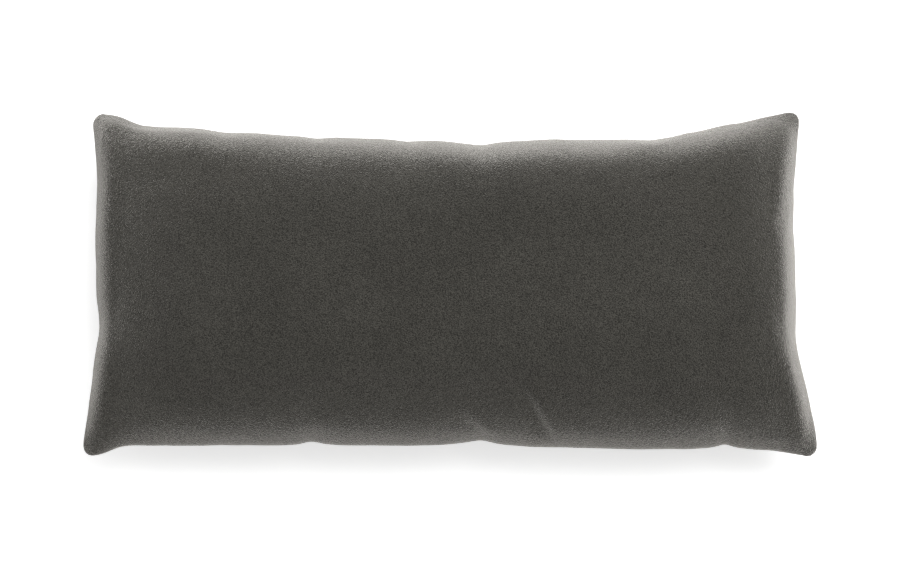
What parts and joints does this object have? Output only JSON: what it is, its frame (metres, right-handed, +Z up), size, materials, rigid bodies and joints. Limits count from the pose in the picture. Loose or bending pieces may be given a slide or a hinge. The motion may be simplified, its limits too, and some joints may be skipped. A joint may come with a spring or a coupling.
{
  "type": "lumbar throw pillow",
  "caption": "Filled oblong lumbar pillow in dark grey velvet, with a plain knife-edge seam, drawn-in sides and blunt turned corners, lying on its back.",
  "frame": {"origin": "centre of the pillow's box in plan, on the surface that it lies on", "axes": "+X along the pillow, +Y across it towards its more drawn-in long side, +Z up, out of its face"},
  "size_m": [0.6092, 0.2898, 0.115],
  "materials": {
    "velvet": "matt cut pile, dark warm grey, pale where it is seen edge on"
  },
  "bodies": {
    "root": {"cushion": "velvet"}
  },
  "joints": []
}
